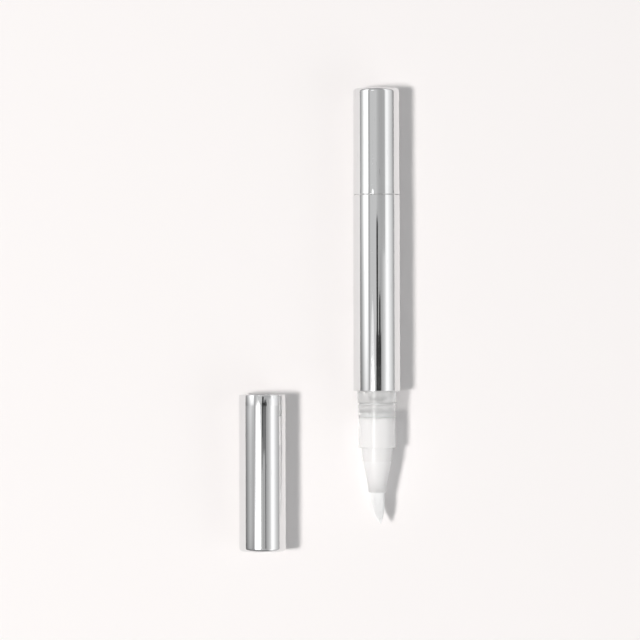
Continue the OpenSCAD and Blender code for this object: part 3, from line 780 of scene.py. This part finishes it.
def make_cap_liner():
    """The liner: a mouth with a snap ridge, a guide, a sealing step, and a cone with fins to the shell."""
    ridge_z = NECK_LEN + GROOVE_W / 2
    step_z = STRAIGHT_END + SEAL_GAP
    neck_z = step_z + 2 * LINER_WALL
    floor_z = LINER_END - LINER_WALL
    bm = spun([
        (0, floor_z),
        (LINER_END_R, floor_z, LINER_END_ROUND),
        (SEAL_R, step_z, LINER_STEP_ROUND),
        (GUIDE_R, step_z, LINER_STEP_ROUND),
        (GUIDE_R, MOUTH_DEPTH, LINER_EDGE_ROUND),
        (MOUTH_BORE_R, MOUTH_DEPTH, LINER_EDGE_ROUND),
        (MOUTH_BORE_R, ridge_z + GROOVE_W / 2),
        (RIDGE_R, ridge_z + GROOVE_W / 4),
        (RIDGE_R, ridge_z - GROOVE_W / 4),
        (MOUTH_BORE_R, ridge_z - GROOVE_W / 2),
        (MOUTH_BORE_R, LINER_MOUTH, LINER_LIP_ROUND),
        (SLEEVE_R, LINER_MOUTH, LINER_EDGE_ROUND),
        (SLEEVE_R, neck_z, LINER_BEND_ROUND),
        (SEAL_R + LINER_WALL, neck_z, LINER_BEND_ROUND),
        (LINER_END_R + LINER_WALL, LINER_END, LINER_END_ROUND),
        (0, LINER_END),
    ])
    for n in range(FIN_COUNT):
        take_in(bm, liner_fin(neck_z, 2 * math.pi * n / FIN_COUNT), "liner_fin")
    dress(piece("cap_inner", bm, CAP), "cap", "milky_plastic", MILKY_PLASTIC, "cap_liner")


def dress_cad_nodes():
    """Materials for the CAD nodes that stay as they are."""
    for name, material in (
            ("brush_root", WHITE_NYLON), ("feed_tube", MILKY_PLASTIC), ("brush_retainer", MILKY_PLASTIC),
            ("screw_nut", WHITE_PLASTIC), ("piston", MILKY_PLASTIC), ("driver", WHITE_PLASTIC),
            ("knob_core", WHITE_PLASTIC)):
        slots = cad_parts[name].data.materials
        slots.clear()
        slots.append(material)


make_outer_tube()
make_knob_shell()
make_cap_shell()
make_reservoir()
make_nozzle()
make_bristles()
make_drive_screw()
make_cap_liner()
dress_cad_nodes()


# Studio: a pale floor, a round key lamp, cards that the metal mirrors, and the camera. Sizes and places here
# are in metres, and angles in degrees from straight up to the right.

# Floor: its size, its colour and the depth of its grain
FLOOR_SIZE = 8.0
FLOOR_COLOUR = (0.95, 0.935, 0.935, 1)
GRAIN_DEPTH = 0.000004
# Surround: the colour of the lit floor, which the camera, metal and glass see, and the light that it gives
BACKGROUND = (0.965, 0.93, 0.922, 1)
AMBIENT = 0.35

# Key lamp: its direction from the pen, its distance, its half size in degrees, its brightness and its colour
KEY_TOWARDS = Vector((-0.485, -0.07, 1.0))
KEY_DISTANCE = 2.2
KEY_HALF_ANGLE = 4.6
KEY_LEVEL = 107.0
KEY_COLOUR = (0.985, 0.95, 0.93)

# Lit cloths: how far off the first hangs, how much nearer each next one is, and the sides of a round one
CLOTH_DISTANCE = 1.1
CLOTH_NEARER = 0.01
CLOTH_SIDES = 48
# Each cloth: its angle, its middle along the pen, its half sizes, how far its far end is set to the right,
# and its level
CLOTHS = {
    "key_cloth": (-25.5, -0.2, (0.35, 0.21), 0.1, 1.0),
    "key_lamp": (-23.5, -0.215, (0.25, 0.19), 0.09, 4.5),
    "far_cloth": (-18.5, 0.34, (0.16, 0.2), 0.0, 1.35),
}

# Softboxes and ceiling: how far off they hang, the half size of the room, and the places along the pen where
# their near parts end and their far ones start
SOFTBOX_DISTANCE = 1.2
CEILING_DISTANCE = 1.6
ROOM_HALF = 1.5
NEAR_SOFTBOX_END = -0.045
NEAR_CEILING_END = 0.045
# Walls: each one's place along the pen and its level
WALLS = {"far_wall": (ROOM_HALF, 0.4), "near_wall": (-ROOM_HALF, 0.25)}
# The table's edge: its near and far ends, how high it stands, and its levels along the pen
TABLE_EDGE_NEAR = (0.105, -0.03)
TABLE_EDGE_FAR = (0.423, 0.5)
TABLE_EDGE_HEIGHT = 0.0075
TABLE_EDGE_LEVELS = [(-0.03, 0.5), (0.0, 0.5), (0.036, 0.4), (0.06, 0.18), (0.5, 0.18)]

# The camera and what holds it: their height, and each one's reach across, its reach along and its level
CAMERA_CARD_HEIGHT = 1.13
CAMERA_CARDS = {
    "camera_body": ((-0.068, 0.43), (-0.047, -0.008), 0.045),
    "camera_head": ((-0.03, 0.125), (-0.008, 0.0565), 0.045),
    "camera_arm": ((0.2, 0.36), (-0.008, 0.014), 0.045),
    "camera_grip": ((-0.05, 0.05), (-0.066, -0.047), 0.06),
    "camera_strap": ((0.05, 0.25), (-0.075, -0.047), 0.2),
    "camera_foot": ((-0.06, 0.05), (-0.083, -0.066), 0.25),
    "camera_column": ((-0.03, 0.18), (-0.4, -0.083), 0.48),
    "camera_stand": ((0.265, 0.335), (-0.14, -0.047), 0.1),
}

# Camera: the picture's width and scale, how far its middle lies from the frame's in pixels, its turn in
# radians, its sensor and long lens in millimetres, and how near and far it sees
PICTURE_PIXELS = 640
PIXELS_PER_MM = 3.64
MIDDLE_RIGHT_PIXELS = 0.47
MIDDLE_UP_PIXELS = -0.25
CAMERA_TURN = -0.0024
SENSOR = 36.0
LENS = 224.0
SEES_FROM = 0.01
SEES_TO = 100


def ramp(tree, source, places):
    """A smooth level for a socket's value; places are (value, level) in rising order of value."""
    first, last = places[0][0], places[-1][0]
    peak = max(level for _, level in places)
    spread = add(tree, "ShaderNodeMapRange", clamp=True)
    feed(tree, spread, Value=source, From_Min=first, From_Max=last)
    curve = feed(tree, add(tree, "ShaderNodeValToRGB"), Fac=spread.outputs["Result"])
    elements = curve.color_ramp.elements
    while len(elements) < len(places):
        elements.new(0.5)
    for element, (value, level) in zip(elements, places):
        element.position = (value - first) / (last - first)
        element.color = (level / peak,) * 3 + (1,)
    return maths(tree, "MULTIPLY", curve.outputs["Color"], peak)


def make_glow(name, across, along):
    """A glowing material. Its strength is a level across, by angle in degrees, times a level along Y."""
    material = bpy.data.materials.new(name)
    material.use_nodes = True
    tree = material.node_tree
    tree.nodes.clear()
    coordinates = add(tree, "ShaderNodeTexCoord").outputs["Object"]
    place = feed(tree, add(tree, "ShaderNodeSeparateXYZ"), Vector=coordinates)
    angle = maths(tree, "ARCTAN2", place.outputs["X"], place.outputs["Z"])
    level = maths(tree, "MULTIPLY",
                  ramp(tree, angle, [(math.radians(value), level) for value, level in across]),
                  ramp(tree, place.outputs["Y"], along))
    glow = feed(tree, add(tree, "ShaderNodeEmission"), Strength=level)
    feed(tree, add(tree, "ShaderNodeOutputMaterial"), Surface=glow.outputs["Emission"])
    return material


def even_glow(name, level):
    """A glowing material with one level throughout."""
    return make_glow(name, [(-180, level), (180, level)], [(-2, 1), (2, 1)])


def stage_sheet(name, corners, material, seen=False, lighting=False):
    """A flat stage piece; unless seen, it shows only in reflections, and lights nothing unless lighting."""
    bm = bmesh.new()
    bm.faces.new([bm.verts.new(c) for c in corners])
    mesh = as_mesh(bm, name)
    mesh.materials.append(material)
    obj = new_object(name, mesh)
    obj.visible_camera = seen
    obj.visible_shadow = seen
    obj.visible_diffuse = seen or lighting


def level_sheet(x, y, z):
    """Corners of a level oblong that reaches from x[0] to x[1] and from y[0] to y[1]."""
    return [(x[0], y[0], z), (x[1], y[0], z), (x[1], y[1], z), (x[0], y[1], z)]


def upright_sheet(one, two, height):
    """Corners of a sheet that stands on the table between two places."""
    return [(*one, 0), (*two, 0), (*two, height), (*one, height)]


def card(name, distance, across, along, lighting=False):
    """A card along the pen; it reaches over the angles and places that its levels across and along name."""
    (x0, z0), (x1, z1) = [
        (distance * math.sin(math.radians(a)), distance * math.cos(math.radians(a)))
        for a in (across[0][0], across[-1][0])]
    y0, y1 = along[0][0], along[-1][0]
    corners = [(x0, y0, z0), (x1, y0, z1), (x1, y1, z1), (x0, y1, z0)]
    stage_sheet(name, corners, make_glow(name, across, along), lighting=lighting)


def make_cards():
    """What the metal mirrors: two softboxes, the ceiling, the end walls and the table's edge."""
    card("left_softbox", SOFTBOX_DISTANCE,
         [(-90, 0.2), (-86, 0.24), (-80, 0.3), (-74, 0.42), (-69, 0.57), (-63.6, 0.75), (-58, 0.93),
          (-52.4, 1), (-47, 0.92), (-43.6, 0.85), (-41.3, 0.8)],
         [(NEAR_SOFTBOX_END, 0.9), (-0.036, 1.04), (-0.0115, 1.28), (0.0115, 1.4), (0.06, 1.8), (0.24, 1.8),
          (ROOM_HALF, 0.8)])
    card("near_left_softbox", SOFTBOX_DISTANCE,
         [(-90, 0.4), (-85, 0.46), (-78.4, 0.57), (-72.3, 0.76), (-66.4, 0.92), (-60.7, 1.02), (-55.2, 0.97),
          (-49.7, 0.84), (-44.5, 0.8), (-41.3, 0.78)],
         [(-ROOM_HALF, 0.33), (-0.136, 0.38), (-0.121, 0.57), (-0.086, 0.62), (-0.063, 0.68),
          (NEAR_SOFTBOX_END, 0.82)])
    card("right_softbox", SOFTBOX_DISTANCE,
         [(41.3, 0.88), (43, 0.96), (48, 1.15), (54.6, 1.18), (60, 1.04), (65.8, 0.92), (71.6, 0.81),
          (77.7, 0.7), (84, 0.54), (88, 0.37), (90, 0.34)],
         [(NEAR_SOFTBOX_END, 1.1), (0.05, 1.06), (0.09, 1), (ROOM_HALF, 1)])
    card("near_right_softbox", SOFTBOX_DISTANCE,
         [(39.3, 0.95), (42, 1.12), (45, 1.25), (52, 1.27), (57, 1.2), (60, 1.08), (65, 0.92), (70, 0.77),
          (77, 0.63), (84, 0.52), (90, 0.46)],
         [(-ROOM_HALF, 1), (NEAR_SOFTBOX_END, 1)], lighting=True)
    card("left_ceiling", CEILING_DISTANCE,
         [(-46, 0.47), (-37, 0.47), (-34, 0.5), (-30.5, 0.66), (-2, 0.66), (3, 0.57), (8, 0.52), (12, 0.49)],
         [(-ROOM_HALF, 1), (ROOM_HALF, 1)])
    card("near_right_ceiling", CEILING_DISTANCE,
         [(12, 0.47), (18, 0.44), (24, 0.49), (31, 0.62), (36.5, 0.75), (41.3, 0.86)],
         [(-ROOM_HALF, 1), (NEAR_CEILING_END, 1)])
    card("far_right_ceiling", CEILING_DISTANCE,
         [(12, 0.48), (24, 0.46), (29, 0.47), (34, 0.49), (41.3, 0.5)],
         [(NEAR_CEILING_END, 1.06), (0.1, 1), (ROOM_HALF, 1)])
    for name, (y, level) in WALLS.items():
        stage_sheet(name, upright_sheet((-ROOM_HALF, y), (ROOM_HALF, y), ROOM_HALF), even_glow(name, level))
    stage_sheet("table_edge", upright_sheet(TABLE_EDGE_NEAR, TABLE_EDGE_FAR, TABLE_EDGE_HEIGHT),
                make_glow("table_edge", [(0, 1), (180, 1)], TABLE_EDGE_LEVELS))


def make_camera_cards():
    """The dark camera, its arm and its stand, just above the camera's own place."""
    for name, (x, y, level) in CAMERA_CARDS.items():
        stage_sheet(name, level_sheet(x, y, CAMERA_CARD_HEIGHT), even_glow(name, level))


def make_cloths():
    """The lit cloths in front of the lamps, seen only in reflections and through clear plastic."""
    for k, (name, (degrees, middle_y, (half_x, half_y), skew, level)) in enumerate(CLOTHS.items()):
        turn = math.radians(degrees)
        distance = CLOTH_DISTANCE - CLOTH_NEARER * k
        middle = Vector((math.sin(turn), 0, math.cos(turn))) * distance + Vector((0, middle_y, 0))
        across = Vector((math.cos(turn), 0, -math.sin(turn)))
        along = Vector((0, half_y, 0))
        corners = [middle + across * (half_x * math.cos(a) + skew * math.sin(a)) + along * math.sin(a)
                   for a in (2 * math.pi * step / CLOTH_SIDES for step in range(CLOTH_SIDES))]
        stage_sheet(name, corners, even_glow(name, level))


def make_key():
    """The lamp that lights the table and throws the shadow; its power grows with its face, so that its
    brightness stays the same."""
    data = bpy.data.lights.new("key_lamp", "AREA")
    data.shape = "DISK"
    data.size = 2 * KEY_DISTANCE * math.tan(math.radians(KEY_HALF_ANGLE))
    data.energy = KEY_LEVEL * (math.pi * data.size / 2) ** 2
    data.color = KEY_COLOUR
    obj = new_object("key_lamp", data)
    obj.location = KEY_TOWARDS.normalized() * KEY_DISTANCE
    obj.rotation_euler = KEY_TOWARDS.to_track_quat("Z", "Y").to_euler()
    obj.visible_camera = False
    obj.visible_glossy = False
    obj.visible_transmission = False


def make_floor():
    """Matt pale paper with the faintest grain."""
    material, tree, shader, coordinates = new_material("floor_paper")
    feed(tree, shader, Roughness=0.9, Specular_IOR_Level=0, Base_Color=FLOOR_COLOUR)
    bump_from(tree, shader, maths(tree, "MULTIPLY", noise(tree, coordinates, Scale=900), GRAIN_DEPTH))
    reach_each_way = (-FLOOR_SIZE / 2, FLOOR_SIZE / 2)
    stage_sheet("floor", level_sheet(reach_each_way, reach_each_way, 0), material, seen=True)


def make_world():
    """An even grey surround, which the camera, metal and glass see as the pale background."""
    world = bpy.data.worlds.new("studio")
    bpy.context.scene.world = world
    world.use_nodes = True
    tree = world.node_tree
    tree.nodes.clear()
    path = add(tree, "ShaderNodeLightPath")
    seen = maths(tree, "MAXIMUM", path.outputs["Is Camera Ray"],
                 maths(tree, "MAXIMUM", path.outputs["Is Glossy Ray"], path.outputs["Is Transmission Ray"]))
    colour = tinted(tree, seen, (AMBIENT, AMBIENT, AMBIENT, 1), BACKGROUND)
    background = feed(tree, add(tree, "ShaderNodeBackground"), Color=colour)
    feed(tree, add(tree, "ShaderNodeOutputWorld"), Surface=background.outputs["Background"])


def make_camera():
    """Straight above the middle of the pair, with the photograph's scale at the height of the axes."""
    data = bpy.data.cameras.new("camera")
    data.sensor_width = SENSOR
    data.lens = LENS
    data.clip_start = SEES_FROM
    data.clip_end = SEES_TO
    obj = new_object("camera", data)
    distance = LENS / SENSOR * PICTURE_PIXELS / PIXELS_PER_MM * MM
    obj.location = (MIDDLE_RIGHT_PIXELS / PIXELS_PER_MM * MM, MIDDLE_UP_PIXELS / PIXELS_PER_MM * MM,
                    AXIS_Z + distance)
    obj.rotation_euler.z = CAMERA_TURN
    bpy.context.scene.camera = obj


make_floor()
make_world()
make_key()
make_cloths()
make_cards()
make_camera_cards()
make_camera()
bpy.context.scene.view_settings.view_transform = "Standard"
